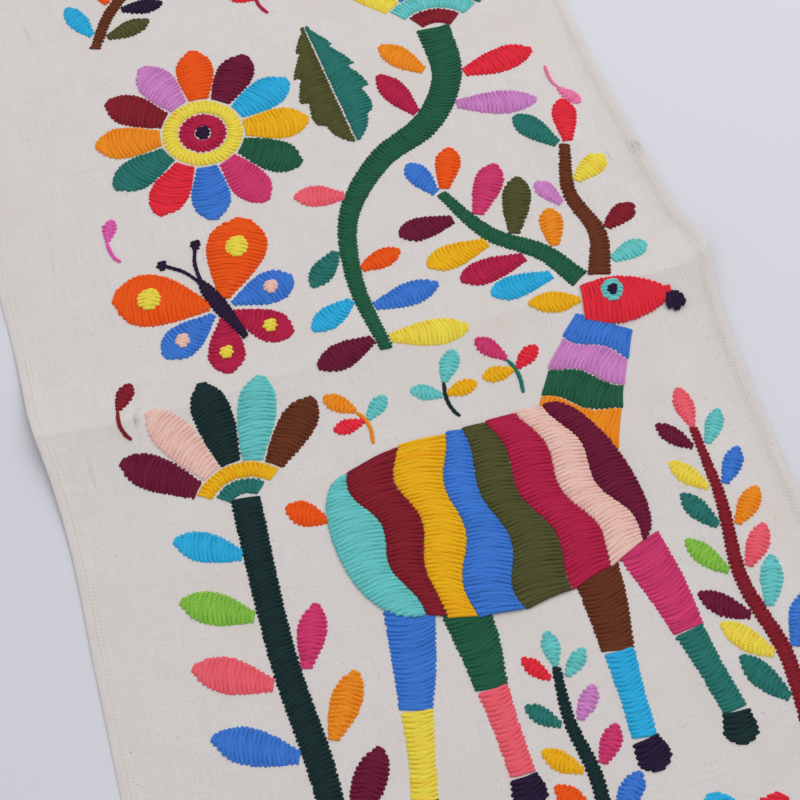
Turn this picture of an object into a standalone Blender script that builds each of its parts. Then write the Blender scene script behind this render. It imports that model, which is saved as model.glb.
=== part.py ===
"""A hemmed cotton runner, opened out on a flat surface after it was kept folded in half.

The cloth's length runs along Y and its width along X. The origin is the middle of its underside,
where it rests. Units are metres. The sheet is one closed body: it lies flat, rises to the crease
across its middle, and lifts a little along its long edges.
"""

import bmesh
import bpy
import numpy as np

MM = 0.001

# Driving sizes
CLOTH_LENGTH = 1.000
SHEET_THICKNESS = 0.0012
HEM_THICKNESS = 0.0020
HEM_WIDTH = 0.0065
HEM_STEP = 0.0009

# Across the middle: where the crease runs, how high it stands, and how far its slopes reach
CREASE_COLUMNS = ("across_mm", "along_mm", "rise_mm")
CREASE = (
    (-210, -3.5, 6.5),
    (-120, -8.0, 4.5),
    (-40, -2.0, 3.0),
    (60, -1.0, 2.8),
    (150, -1.5, 4.2),
    (192, -1.0, 7.0),
    (208, 5.0, 8.5),
)
CREASE_REACH_NEAR = 0.058
CREASE_REACH_FAR = 0.070

# The long edges, row by row along the cloth: where each one runs and how far it lifts
EDGE_COLUMNS = ("along_mm", "left_mm", "right_mm", "left_lift_mm", "right_lift_mm")
EDGES = (
    (-500, -202.0, 195.0, 0.0, 0.8),
    (-360, -202.0, 195.0, 0.6, 2.2),
    (-215, -201.5, 194.5, 0.2, 2.6),
    (-140, -200.0, 193.2, 0.8, 2.0),
    (-70, -198.4, 195.2, 2.6, 3.0),
    (-30, -200.4, 198.4, 4.2, 2.4),
    (0, -203.6, 203.2, 2.0, 1.2),
    (14, -204.6, 205.4, 1.2, 1.0),
    (32, -204.4, 199.8, 0.8, 2.0),
    (60, -204.4, 197.0, 0.4, 3.0),
    (100, -205.4, 194.4, 0.2, 2.6),
    (180, -204.0, 190.4, 0.6, 1.4),
    (300, -202.5, 192.5, 1.2, 0.6),
    (500, -202.0, 194.0, 0.4, 0.0),
)
EDGE_LIFT_REACH = 0.026

# Low swells where the cloth doesn't lie quite down
SWELL_COLUMNS = ("across_mm", "along_mm", "rise_mm", "reach_across_mm", "reach_along_mm")
SWELLS = (
    (152, -150, 2.2, 22, 150),
    (150, 120, 1.8, 26, 90),
    (-120, -330, 1.6, 60, 45),
    (-90, 330, 1.8, 45, 70),
    (60, 420, 1.4, 70, 40),
)

# The grid of the sheet
COLUMNS_ACROSS = 18
ROW_SPACING = 0.034
CREASE_ROWS = (3.0, 8.0, 15.0, 24.0, 34.0, 46.0, 60.0)


def column(table, names, name):
    """One named column of a table in millimetres, as metres."""
    place = names.index(name)
    return np.array([row[place] for row in table]) * MM


def smooth_line(places, values, at):
    """The height at `at` of a smooth curve through the points (places, values)."""
    slopes = np.gradient(values, places)
    start = np.clip(np.searchsorted(places, at, side="right") - 1, 0, len(places) - 2)
    span = places[start + 1] - places[start]
    t = np.clip((at - places[start]) / span, 0.0, 1.0)
    rise = t * t * (3.0 - 2.0 * t)
    return (
        values[start] * (1.0 - rise)
        + values[start + 1] * rise
        + span * slopes[start] * t * (1.0 - t) ** 2
        - span * slopes[start + 1] * t * t * (1.0 - t)
    )


def edge_line(name, along):
    """A column of the table of long edges, at the places `along`."""
    return smooth_line(
        column(EDGES, EDGE_COLUMNS, "along_mm"), column(EDGES, EDGE_COLUMNS, name), along
    )


def crease_rise(across, along):
    """The ridge that the fold left across the middle, sharp at its top."""
    places = column(CREASE, CREASE_COLUMNS, "across_mm")
    line = smooth_line(places, column(CREASE, CREASE_COLUMNS, "along_mm"), across)
    rise = smooth_line(places, column(CREASE, CREASE_COLUMNS, "rise_mm"), across)
    away = along - line
    reach = np.where(away < 0.0, CREASE_REACH_NEAR, CREASE_REACH_FAR)
    return rise * np.clip(1.0 - np.abs(away) / reach, 0.0, 1.0) ** 2


def edge_rise(across, along):
    """The lift of both long edges."""
    from_left = across - edge_line("left_mm", along)
    from_right = edge_line("right_mm", along) - across
    left = edge_line("left_lift_mm", along) * np.clip(1.0 - from_left / EDGE_LIFT_REACH, 0, 1) ** 2
    right = edge_line("right_lift_mm", along) * np.clip(1.0 - from_right / EDGE_LIFT_REACH, 0, 1) ** 2
    return np.maximum(left, 0.0) + np.maximum(right, 0.0)


def swell_rise(across, along):
    """The low swells of the table, each an oval hill that ends level with the floor."""
    total = np.zeros_like(across)
    for row in SWELLS:
        swell = dict(zip(SWELL_COLUMNS, row))
        u = (across - swell["across_mm"] * MM) / (swell["reach_across_mm"] * MM)
        v = (along - swell["along_mm"] * MM) / (swell["reach_along_mm"] * MM)
        total += swell["rise_mm"] * MM * np.clip(1.0 - u * u - v * v, 0.0, 1.0) ** 2
    return total


def rows_along():
    """Places of the grid's rows: the hems, even steps, and close rows on the crease."""
    half = CLOTH_LENGTH / 2.0
    near_crease = np.array(CREASE_ROWS) * MM
    first_even = near_crease[-1]
    inner_end = half - HEM_WIDTH - HEM_STEP
    even_steps = round((inner_end - first_even) / ROW_SPACING)
    even = np.linspace(first_even, inner_end, even_steps + 1)[1:]
    side = np.concatenate([near_crease, even, [half - HEM_WIDTH, half]])
    middle = column(CREASE, CREASE_COLUMNS, "along_mm").mean()
    return np.concatenate([-side[::-1], [middle], side])


def shares_across():
    """Places of the grid's columns as shares of the width, with a pair at each hem's inner edge."""
    width = edge_line("right_mm", 0.0) - edge_line("left_mm", 0.0)
    hem = np.array([0.0, HEM_WIDTH, HEM_WIDTH + HEM_STEP]) / width
    inner = np.linspace(hem[-1], 1.0 - hem[-1], COLUMNS_ACROSS + 1)[1:-1]
    return np.concatenate([hem, inner, 1.0 - hem[::-1]])


def make_sheet_mesh():
    """The underside of the cloth as an open grid, with each point's thickness in a vertex group."""
    rows = rows_along()
    shares = shares_across()
    grid = bmesh.new()
    bmesh.ops.create_grid(
        grid, x_segments=len(shares) - 1, y_segments=len(rows) - 1, size=0.5
    )
    at = np.array([vertex.co for vertex in grid.verts])
    share_index = np.rint((at[:, 0] + 0.5) * (len(shares) - 1)).astype(int)
    row_index = np.rint((at[:, 1] + 0.5) * (len(rows) - 1)).astype(int)
    along = bend_rows(rows, shares)[row_index, share_index]
    left = edge_line("left_mm", along)
    across = left + shares[share_index] * (edge_line("right_mm", along) - left)
    rise = crease_rise(across, along) + edge_rise(across, along) + swell_rise(across, along)
    for vertex, x, y, z in zip(grid.verts, across, along, rise):
        vertex.co = (x, y, z)
    mesh = bpy.data.meshes.new("runner_cloth")
    grid.to_mesh(mesh)
    grid.free()
    hem_columns = (share_index <= 1) | (share_index >= len(shares) - 2)
    hem_rows = (row_index <= 1) | (row_index >= len(rows) - 2)
    return mesh, hem_columns | hem_rows


def bend_rows(rows, shares):
    """The place along the cloth of each grid point, with the rows by the crease following it."""
    half_width = (edge_line("right_mm", 0.0) - edge_line("left_mm", 0.0)) / 2.0
    across = (shares * 2.0 - 1.0) * half_width
    places = column(CREASE, CREASE_COLUMNS, "across_mm")
    line = smooth_line(places, column(CREASE, CREASE_COLUMNS, "along_mm"), across)
    middle = column(CREASE, CREASE_COLUMNS, "along_mm").mean()
    reach = CREASE_ROWS[-1] * MM * 2.0
    follow = np.clip(1.0 - np.abs(rows) / reach, 0.0, 1.0)
    return rows[:, None] + follow[:, None] * (line - middle)[None, :]


def centre_on_origin(mesh):
    """Moves the mesh so that its box is centred on the origin, with its lowest point at 0."""
    points = np.array([vertex.co for vertex in mesh.vertices])
    low, high = points.min(axis=0), points.max(axis=0)
    shift = (-(low[0] + high[0]) / 2.0, -(low[1] + high[1]) / 2.0, -low[2])
    for vertex in mesh.vertices:
        vertex.co = [place + move for place, move in zip(vertex.co, shift)]


def cotton_material():
    """Unbleached cotton: warm off-white and matt."""
    material = bpy.data.materials.new("unbleached_cotton")
    material.use_nodes = True
    shader = material.node_tree.nodes["Principled BSDF"]
    shader.inputs["Base Color"].default_value = (0.66, 0.61, 0.56, 1.0)
    shader.inputs["Roughness"].default_value = 0.9
    shader.inputs["Metallic"].default_value = 0.0
    return material


def make_runner(collection):
    """The runner: one sheet, thicker along its four hems."""
    mesh, in_hem = make_sheet_mesh()
    centre_on_origin(mesh)
    mesh.materials.append(cotton_material())
    runner = bpy.data.objects.new("runner_cloth", mesh)
    collection.objects.link(runner)
    fullness = runner.vertex_groups.new(name="fullness")
    fullness.add([int(i) for i in np.flatnonzero(in_hem)], 1.0, "REPLACE")
    fullness.add(
        [int(i) for i in np.flatnonzero(~in_hem)], SHEET_THICKNESS / HEM_THICKNESS, "REPLACE"
    )
    body = runner.modifiers.new("thickness", "SOLIDIFY")
    body.thickness = HEM_THICKNESS
    body.offset = 1.0
    body.vertex_group = fullness.name
    return runner


def main():
    for old in list(bpy.data.objects):
        bpy.data.objects.remove(old)
    collection = bpy.data.collections.new("embroidered_runner")
    bpy.context.scene.collection.children.link(collection)
    make_runner(collection)


main()
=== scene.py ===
"""The embroidered cotton runner, dressed: the woven cloth, its hems and their sewing, and the yarn.

The cloth, its heights and the embroidery are worked out in millimetres, with x across the cloth
and y along it, and are multiplied by MM for Blender. The view and the studio are in metres.
"""

import bpy
import numpy as np
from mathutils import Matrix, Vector


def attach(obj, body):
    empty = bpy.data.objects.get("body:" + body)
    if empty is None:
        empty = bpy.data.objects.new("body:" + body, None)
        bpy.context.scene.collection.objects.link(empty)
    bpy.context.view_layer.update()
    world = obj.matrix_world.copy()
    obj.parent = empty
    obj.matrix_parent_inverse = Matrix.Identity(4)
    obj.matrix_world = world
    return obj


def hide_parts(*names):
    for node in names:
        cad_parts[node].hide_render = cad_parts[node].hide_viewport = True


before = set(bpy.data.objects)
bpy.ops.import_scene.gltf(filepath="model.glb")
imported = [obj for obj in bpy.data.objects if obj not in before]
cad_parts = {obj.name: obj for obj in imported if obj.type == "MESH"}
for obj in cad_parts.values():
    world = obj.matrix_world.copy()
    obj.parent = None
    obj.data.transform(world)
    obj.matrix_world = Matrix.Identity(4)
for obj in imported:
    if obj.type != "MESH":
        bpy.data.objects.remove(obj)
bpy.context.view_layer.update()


# The view. The camera stands at the near side of the runner, a little to its left, and looks
# steeply down at a place just short of the fold crease.
MM = 0.001
PHOTO_WIDTH = 800
LOOKS_AT = Vector((0.0, -0.037, 0.0))
VIEW_AZIMUTH = np.radians(-17.1)
VIEW_ELEVATION = np.radians(61.4)
VIEW_DISTANCE = 0.946
FOCAL_PIXELS = 1660.0
SENSOR_WIDTH = 36.0

camera = bpy.data.objects.new("camera", bpy.data.cameras.new("camera"))
bpy.context.scene.collection.objects.link(camera)
towards_camera = Vector(
    (
        np.sin(VIEW_AZIMUTH) * np.cos(VIEW_ELEVATION),
        -np.cos(VIEW_AZIMUTH) * np.cos(VIEW_ELEVATION),
        np.sin(VIEW_ELEVATION),
    )
)
camera.location = LOOKS_AT + towards_camera * VIEW_DISTANCE
camera.rotation_euler = towards_camera.to_track_quat("Z", "Y").to_euler()
camera.data.sensor_width = SENSOR_WIDTH
camera.data.lens = FOCAL_PIXELS * SENSOR_WIDTH / PHOTO_WIDTH
bpy.context.scene.camera = camera


# The cloth: one length of unbleached plain-weave cotton with a narrow double hem all round. It
# was kept folded in half, so it still stands up at the crease, and its long edges lift a little.
CLOTH_LENGTH = 1000.0
CLOTH_WIDTH = 400.0
CLOTH_THICKNESS = 0.55
HEM_THICKNESS = 0.85
HEM_WIDTH = 6.5
HEM_ROUNDING = 1.1
HEM_STEP_BEYOND = 1.3
HEM_STEP_WIDTH = 2.8
LEAST_ROUNDING = 0.12
CLEARANCE_UNDER = 0.35
CLEARANCE_AT_EDGE = 0.06
CLEARANCE_FROM = 2.0
CLEARANCE_OVER = 14.0

CREASE_COLUMNS = ("across", "along", "rise")
CREASE = (
    (-210, -3.5, 6.5),
    (-120, -8.0, 4.5),
    (-40, -2.0, 3.0),
    (60, -1.0, 2.8),
    (150, -1.5, 4.2),
    (192, -1.0, 7.0),
    (208, 5.0, 8.5),
)
CREASE_REACH_NEAR = 58.0
CREASE_REACH_FAR = 70.0

EDGE_COLUMNS = ("along", "left", "right", "left_lift", "right_lift")
EDGES = (
    (-500, -202.0, 195.0, 0.0, 0.8),
    (-360, -202.0, 195.0, 0.3, 2.2),
    (-215, -201.5, 194.5, 0.1, 2.6),
    (-140, -200.0, 193.2, 0.3, 2.0),
    (-70, -198.4, 195.2, 1.0, 3.0),
    (-30, -200.4, 198.4, 2.2, 2.4),
    (0, -203.6, 203.2, 1.4, 1.2),
    (14, -204.6, 205.4, 1.2, 1.0),
    (32, -204.4, 199.8, 0.8, 2.0),
    (60, -204.4, 197.0, 0.4, 3.0),
    (100, -205.4, 194.4, 0.2, 2.6),
    (180, -204.0, 190.4, 0.6, 1.4),
    (300, -202.5, 192.5, 1.2, 0.6),
    (500, -202.0, 194.0, 0.4, 0.0),
)
EDGE_LIFT_REACH = 26.0

SWELL_COLUMNS = ("across", "along", "rise", "reach_across", "reach_along")
SWELLS = (
    (152, -150, 2.2, 22, 150),
    (150, 120, 1.8, 26, 90),
    (-120, -330, 1.6, 60, 45),
    (-90, 330, 1.8, 45, 70),
    (60, 420, 1.4, 70, 40),
)

RIPPLE_COUNT = 26
RIPPLE_LENGTHS = (16.0, 60.0)
RIPPLE_RISE = 0.055
RIPPLE_FADE = 12.0
RIPPLE_AT_EDGE = 0.15
HEM_DIP = 0.55
HEM_DIP_INSIDE = 11.0
HEM_DIP_REACH = 4.5
HEM_PUCKER_LENGTH = 9.0
HEM_PUCKER_RISE = 0.06

GRID_ACROSS = 4.2
GRID_ALONG = 4.4
HEM_GRID = (0.0, 0.25, 0.6, 1.1, 3.4, 5.9, 6.5, 7.1, 8.6)
CREASE_GRID = (-12.0, -8.0, -5.0, -3.0, -1.6, -0.7, 0.7, 1.6, 3.0, 5.0, 8.0, 12.0)
CREASE_GRID_REACH = 14.0
CREASE_FOLLOWED = 120.0


def column(table, names, name):
    """One named column of a table."""
    place = names.index(name)
    return np.array([row[place] for row in table], dtype=float)


def smooth_line(places, values, at):
    """The height at `at` of a smooth curve through the points (places, values)."""
    slopes = np.gradient(values, places)
    start = np.clip(np.searchsorted(places, at, side="right") - 1, 0, len(places) - 2)
    span = places[start + 1] - places[start]
    t = np.clip((at - places[start]) / span, 0.0, 1.0)
    rise = t * t * (3.0 - 2.0 * t)
    return (
        values[start] * (1.0 - rise)
        + values[start + 1] * rise
        + span * slopes[start] * t * (1.0 - t) ** 2
        - span * slopes[start + 1] * t * t * (1.0 - t)
    )


def crease_column(name, across):
    return smooth_line(
        column(CREASE, CREASE_COLUMNS, "across"), column(CREASE, CREASE_COLUMNS, name), across
    )


def edge_column(name, along):
    return smooth_line(
        column(EDGES, EDGE_COLUMNS, "along"), column(EDGES, EDGE_COLUMNS, name), along
    )


def lie_of_cloth(x, y):
    """How high the cloth's underside lies, from its crease, lifted edges and low swells."""
    away = y - crease_column("along", x)
    reach = np.where(away < 0.0, CREASE_REACH_NEAR, CREASE_REACH_FAR)
    height = crease_column("rise", x) * np.clip(1.0 - np.abs(away) / reach, 0.0, 1.0) ** 2
    for side, inside in (
        ("left_lift", x - edge_column("left", y)),
        ("right_lift", edge_column("right", y) - x),
    ):
        lift = edge_column(side, y) * np.clip(1.0 - inside / EDGE_LIFT_REACH, 0.0, 1.0) ** 2
        height = height + np.maximum(lift, 0.0)
    for row in SWELLS:
        swell = dict(zip(SWELL_COLUMNS, row))
        u = (x - swell["across"]) / swell["reach_across"]
        v = (y - swell["along"]) / swell["reach_along"]
        height = height + swell["rise"] * np.clip(1.0 - u * u - v * v, 0.0, 1.0) ** 2
    return height


def ripples(x, y):
    """Small uneven waves all over, as washed cotton has that was ironed once."""
    chance = np.random.default_rng(11)
    height = np.zeros_like(x)
    for _ in range(RIPPLE_COUNT):
        turn = chance.uniform(0.0, np.pi)
        wave = 2.0 * np.pi / chance.uniform(*RIPPLE_LENGTHS)
        phase = chance.uniform(0.0, 2.0 * np.pi)
        height = height + np.sin(wave * (x * np.cos(turn) + y * np.sin(turn)) + phase)
    return height * RIPPLE_RISE


def distance_inside(x, y):
    """How far a place is from the nearest edge of the cloth."""
    sides = np.minimum(x - edge_column("left", y), edge_column("right", y) - x)
    return np.minimum(sides, CLOTH_LENGTH / 2.0 - np.abs(y))


def underside(x, y):
    """The height of the underside of the woven cloth, in millimetres."""
    inside = distance_inside(x, y)
    pucker = HEM_PUCKER_RISE * (1.0 + np.sin(2.0 * np.pi * (x + y) / HEM_PUCKER_LENGTH))
    pucker = pucker * np.clip(1.0 - inside / (2.0 * HEM_WIDTH), 0.0, 1.0)
    middle = np.clip((inside - CLEARANCE_FROM) / CLEARANCE_OVER, 0.0, 1.0)
    clear = CLEARANCE_AT_EDGE + (CLEARANCE_UNDER - CLEARANCE_AT_EDGE) * middle
    beside_hem = HEM_DIP * np.exp(-(((inside - HEM_DIP_INSIDE) / HEM_DIP_REACH) ** 2))
    settled = np.maximum(lie_of_cloth(x, y) - beside_hem, 0.0)
    fade = np.clip(inside / RIPPLE_FADE, RIPPLE_AT_EDGE, 1.0)
    wave = np.maximum(ripples(x, y), 0.0) * fade
    return settled + wave + clear + pucker


def hem_share(inside):
    """1 where the cloth is doubled over, and 0 on the single cloth."""
    return np.clip((HEM_WIDTH + HEM_STEP_BEYOND - inside) / HEM_STEP_WIDTH, 0.0, 1.0)


def fullness(x, y):
    """The cloth's thickness: doubled over at the hem, and rounded off at its folded edge."""
    inside = distance_inside(x, y)
    thick = CLOTH_THICKNESS + (HEM_THICKNESS - CLOTH_THICKNESS) * hem_share(inside)
    edge = np.clip(inside / (2.0 * HEM_ROUNDING), 0.0, 1.0)
    return thick * np.sqrt(np.maximum(edge * (2.0 - edge), LEAST_ROUNDING))


def top_side(x, y):
    return underside(x, y) + fullness(x, y)


def grid_lines(half, inner_step):
    """Places across half a side, close together over the rounded edge and the hem."""
    hem = half - np.array(HEM_GRID)
    inner = np.linspace(0.0, hem[-1], round(hem[-1] / inner_step) + 1)[:-1]
    return np.concatenate([inner, hem[::-1]])


def both_sides(half_line):
    return np.concatenate([-half_line[:0:-1], half_line])


def make_cloth():
    """The sheet: an open grid on its underside, made thick along its own fullness."""
    across = both_sides(grid_lines(CLOTH_WIDTH / 2.0, GRID_ACROSS)) / (CLOTH_WIDTH / 2.0)
    along = both_sides(grid_lines(CLOTH_LENGTH / 2.0, GRID_ALONG))
    away = along[np.abs(along) > CREASE_GRID_REACH]
    along = np.unique(np.concatenate([away, CREASE_GRID, [0.0]]))
    share, row = np.meshgrid(across, along)
    crease = crease_column("along", share * CLOTH_WIDTH / 2.0)
    y = row + crease * np.clip(1.0 - np.abs(row) / CREASE_FOLLOWED, 0.0, 1.0)
    left, right = edge_column("left", y), edge_column("right", y)
    x = (left + right) / 2.0 + share * (right - left) / 2.0
    points = np.stack([x, y, underside(x, y)], axis=-1).reshape(-1, 3) * MM
    number = np.arange(x.size).reshape(x.shape)
    faces = np.stack([number[:-1, :-1], number[:-1, 1:], number[1:, 1:], number[1:, :-1]], axis=-1)
    mesh = bpy.data.meshes.new("woven_runner")
    mesh.from_pydata(points.tolist(), [], faces.reshape(-1, 4).tolist())
    mesh.shade_smooth()
    cloth = bpy.data.objects.new("woven_runner", mesh)
    bpy.context.scene.collection.objects.link(cloth)
    from_edge = mesh.attributes.new("from_edge", "FLOAT", "POINT")
    from_edge.data.foreach_set("value", distance_inside(x, y).astype(np.float32).ravel())
    full = cloth.vertex_groups.new(name="fullness")
    for place, thick in enumerate(fullness(x, y).ravel() / HEM_THICKNESS):
        full.add([place], float(thick), "REPLACE")
    body = cloth.modifiers.new("thickness", "SOLIDIFY")
    body.thickness = HEM_THICKNESS * MM
    body.offset = 1.0
    body.vertex_group = full.name
    return cloth


def linear(red, green, blue):
    """A colour read as 0 to 255, as the shaders take it."""
    share = np.array([red, green, blue]) / 255.0
    value = np.where(share > 0.04045, ((share + 0.055) / 1.055) ** 2.4, share / 12.92)
    return (*value.tolist(), 1.0)


class Shade:
    """A material's node tree, with short calls for the nodes that it is built from."""

    def __init__(self, name):
        self.material = bpy.data.materials.new(name)
        self.material.use_nodes = True
        self.tree = self.material.node_tree
        self.shader = self.tree.nodes["Principled BSDF"]

    def node(self, kind, **settings):
        made = self.tree.nodes.new(kind)
        for name, value in settings.items():
            setattr(made, name, value)
        return made

    def feed(self, socket, value):
        """Links a socket to another, or sets it to a plain value."""
        if isinstance(value, bpy.types.NodeSocket):
            self.tree.links.new(value, socket)
        else:
            socket.default_value = value

    def math(self, operation, first, second=0.0, third=0.0):
        node = self.node("ShaderNodeMath", operation=operation)
        for socket, value in zip(node.inputs, (first, second, third)):
            self.feed(socket, value)
        return node.outputs[0]

    def mix(self, share, first, second):
        node = self.node("ShaderNodeMix", data_type="RGBA")
        self.feed(node.inputs["Factor"], share)
        self.feed(node.inputs["A"], first)
        self.feed(node.inputs["B"], second)
        return node.outputs["Result"]

    def noise(self, place, scale, detail=2.0):
        node = self.node("ShaderNodeTexNoise")
        self.feed(node.inputs["Vector"], place)
        node.inputs["Scale"].default_value = scale
        node.inputs["Detail"].default_value = detail
        return node.outputs["Fac"]

    def stretch(self, place, scale):
        node = self.node("ShaderNodeMapping")
        self.feed(node.inputs["Vector"], place)
        node.inputs["Scale"].default_value = scale
        return node.outputs["Vector"]

    def ramp(self, value, low, high):
        """0 where value is at low or under it, and 1 where it is at high or over it."""
        node = self.node("ShaderNodeMapRange")
        self.feed(node.inputs["Value"], value)
        node.inputs["From Min"].default_value = low
        node.inputs["From Max"].default_value = high
        return node.outputs["Result"]

    def bump(self, height, distance, strength=1.0):
        node = self.node("ShaderNodeBump")
        self.feed(node.inputs["Height"], height)
        node.inputs["Distance"].default_value = distance
        node.inputs["Strength"].default_value = strength
        self.feed(self.shader.inputs["Normal"], node.outputs["Normal"])


YARN_PITCH = 0.62
COTTON = linear(236, 230, 224)
COTTON_SHADE = linear(209, 201, 194)
COTTON_WARM = linear(222, 211, 199)
COTTON_HEM = linear(219, 207, 188)
NEEDLE_ROWS = (5.0, 7.4)
NEEDLE_STEP = 2.5
WARP_SLUB = (1500.0, 40.0, 1.0)
WEFT_SLUB = (40.0, 1500.0, 1.0)
CLOUD_SCALE = 22.0
GRAIN_SCALE = 1100.0
SLUB_SHARE = 0.42
WEAVE_SHARE = 0.24
GRAIN_SHARE = 0.40
TONE_RANGE = (0.42, 1.05)
WARM_RANGE = (0.48, 0.85)
HEM_TINT = 0.14
HEM_FADE = 1.5
# Painted shade in the needle holes along the hem: how the dots are shaped, how far they reach off
# their row, how patchy they are and how dark.
HOLE_SHADE_RANGE = (0.45, 0.95)
HOLE_SHADE_OFF_ROW = (0.55, 0.2)
HOLE_SHADE_PATCHES = (0.30, 0.62)
HOLE_SHADE_DEPTH = 0.42
MARK_GRAIN = (900.0, 160.0, 1.0)
MARK_WEAR = (0.40, 0.62)
MARK_FADE = (1.0, 0.2)
COTTON_ROUGHNESS = 0.92
COTTON_SHEEN = 0.12
COTTON_SHINE = 0.25
WEAVE_DEPTH = 0.00016
WEAVE_STRENGTH = 0.8
SLUB_RISE = 0.7
FLECKS_TO_THE_METRE = 120.0
FLECK_SIZE = 0.055
FLECKS_LEFT_OUT = 0.30
FLECK_PALEST = 0.25
FLECK_DEEPER = 0.45
# The seed flecks' own colour, also used for the painted shade in the needle holes.
SEED_FLECK_AND_HOLE_SHADE = linear(126, 98, 70)
HANDLING_MARK = linear(158, 142, 124)

MARK_COLUMNS = ("x", "y", "half_across", "half_along", "turn", "strength")
MARKS = (
    (192.0, 90.0, 6.5, 9.0, 14, 0.55),
    (197.2, 86.5, 2.6, 6.0, 12, 0.60),
    (174.4, 88.5, 1.6, 9.5, 17, 0.50),
    (143.0, 43.0, 2.4, 10.0, -4, 0.40),
    (-145.0, -7.0, 2.0, 27.0, -10, 0.30),
    (-147.2, -8.0, 1.7, 7.0, -6, 0.75),
    (-177.4, -31.0, 1.5, 13.0, 0, 0.55),
    (-170.4, 112.0, 1.6, 20.0, -9, 0.22),
    (150.0, 238.0, 2.2, 12.0, 14, 0.30),
    (-152.0, 292.0, 1.8, 14.0, 6, 0.30),
    (-160.0, -276.0, 2.2, 12.0, 16, 0.30),
    (168.0, -330.0, 4.0, 7.0, -20, 0.35),
)


def cotton_material():
    """Plain weave: two sets of yarns over and under, slubs, seed flecks, handling marks, and
    painted shade in the needle holes along the hem.
    """
    shade = Shade("unbleached_cotton")
    place = shade.node("ShaderNodeTexCoord").outputs["Object"]
    split = shade.node("ShaderNodeSeparateXYZ")
    shade.feed(split.inputs[0], place)
    x, y = split.outputs["X"], split.outputs["Y"]
    turns = np.pi / (YARN_PITCH * MM)
    warp = shade.math("SINE", shade.math("MULTIPLY", x, turns))
    weft = shade.math("SINE", shade.math("MULTIPLY", y, turns))
    over_under = shade.math("MULTIPLY_ADD", shade.math("MULTIPLY", warp, weft), 0.5, 0.5)
    round_yarn = shade.math("ABSOLUTE", shade.math("MULTIPLY", warp, weft))

    slub_along = shade.noise(shade.stretch(place, WARP_SLUB), 1.0)
    slub_across = shade.noise(shade.stretch(place, WEFT_SLUB), 1.0)
    slub = shade.math("ADD", slub_along, slub_across)
    cloudy = shade.noise(place, CLOUD_SCALE, 4.0)
    grain = shade.noise(place, GRAIN_SCALE, 1.0)
    tone = shade.math("MULTIPLY", over_under, WEAVE_SHARE)
    tone = shade.math("MULTIPLY_ADD", slub, SLUB_SHARE, tone)
    tone = shade.math("MULTIPLY_ADD", grain, GRAIN_SHARE, tone)
    colour = shade.mix(shade.ramp(tone, *TONE_RANGE), COTTON_SHADE, COTTON)
    colour = shade.mix(shade.ramp(cloudy, *WARM_RANGE), colour, COTTON_WARM)

    from_edge = shade.node("ShaderNodeAttribute", attribute_name="from_edge").outputs["Fac"]
    doubled = shade.ramp(from_edge, HEM_WIDTH + HEM_FADE, HEM_WIDTH - HEM_FADE)
    colour = shade.mix(shade.math("MULTIPLY", doubled, HEM_TINT), colour, COTTON_HEM)
    # Painted shade: two rows of dark dots along the hem, where shade falls into the needle holes,
    # patchy across the cloth.
    for inset in NEEDLE_ROWS:
        off_row = shade.math("ABSOLUTE", shade.math("SUBTRACT", from_edge, inset))
        along = shade.math("MULTIPLY", shade.math("ADD", x, y), 2.0 * np.pi / (NEEDLE_STEP * MM))
        hole_shade = shade.ramp(shade.math("SINE", shade.math("ADD", along, inset)), *HOLE_SHADE_RANGE)
        hole_shade = shade.math("MULTIPLY", hole_shade, shade.ramp(off_row, *HOLE_SHADE_OFF_ROW))
        hole_shade = shade.math("MULTIPLY", hole_shade, shade.ramp(cloudy, *HOLE_SHADE_PATCHES))
        colour = shade.mix(shade.math("MULTIPLY", hole_shade, HOLE_SHADE_DEPTH), colour, SEED_FLECK_AND_HOLE_SHADE)

    flecks = shade.node("ShaderNodeTexVoronoi", feature="F1", voronoi_dimensions="2D")
    shade.feed(flecks.inputs["Vector"], place)
    flecks.inputs["Scale"].default_value = FLECKS_TO_THE_METRE
    chance_of = shade.node("ShaderNodeSeparateXYZ")
    shade.feed(chance_of.inputs[0], flecks.outputs["Color"])
    picked = shade.ramp(chance_of.outputs["X"], FLECKS_LEFT_OUT, 1.0)
    size = shade.math("MULTIPLY", picked, FLECK_SIZE)
    spot = shade.math("SUBTRACT", size, flecks.outputs["Distance"])
    depth = shade.math("MULTIPLY_ADD", chance_of.outputs["Y"], FLECK_DEEPER, FLECK_PALEST)
    fleck = shade.math("MULTIPLY", shade.ramp(spot, 0.0, FLECK_SIZE / 3.0), depth)
    colour = shade.mix(fleck, colour, SEED_FLECK_AND_HOLE_SHADE)

    rough_edge = shade.noise(shade.stretch(place, MARK_GRAIN), 1.0, 3.0)
    for row in MARKS:
        mark = dict(zip(MARK_COLUMNS, row))
        turned = shade.node("ShaderNodeMapping", vector_type="TEXTURE")
        shade.feed(turned.inputs["Vector"], place)
        turned.inputs["Location"].default_value = (mark["x"] * MM, mark["y"] * MM, 0.0)
        turned.inputs["Rotation"].default_value = (0.0, 0.0, np.radians(mark["turn"]))
        turned.inputs["Scale"].default_value = (
            mark["half_across"] * MM,
            mark["half_along"] * MM,
            1.0,
        )
        flat = shade.node("ShaderNodeVectorMath", operation="MULTIPLY")
        shade.feed(flat.inputs[0], turned.outputs["Vector"])
        flat.inputs[1].default_value = (1.0, 1.0, 0.0)
        away = shade.node("ShaderNodeVectorMath", operation="LENGTH")
        shade.feed(away.inputs[0], flat.outputs["Vector"])
        near = shade.ramp(away.outputs["Value"], *MARK_FADE)
        worn = shade.math("MULTIPLY", near, shade.ramp(rough_edge, *MARK_WEAR))
        colour = shade.mix(shade.math("MULTIPLY", worn, mark["strength"]), colour, HANDLING_MARK)

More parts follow.
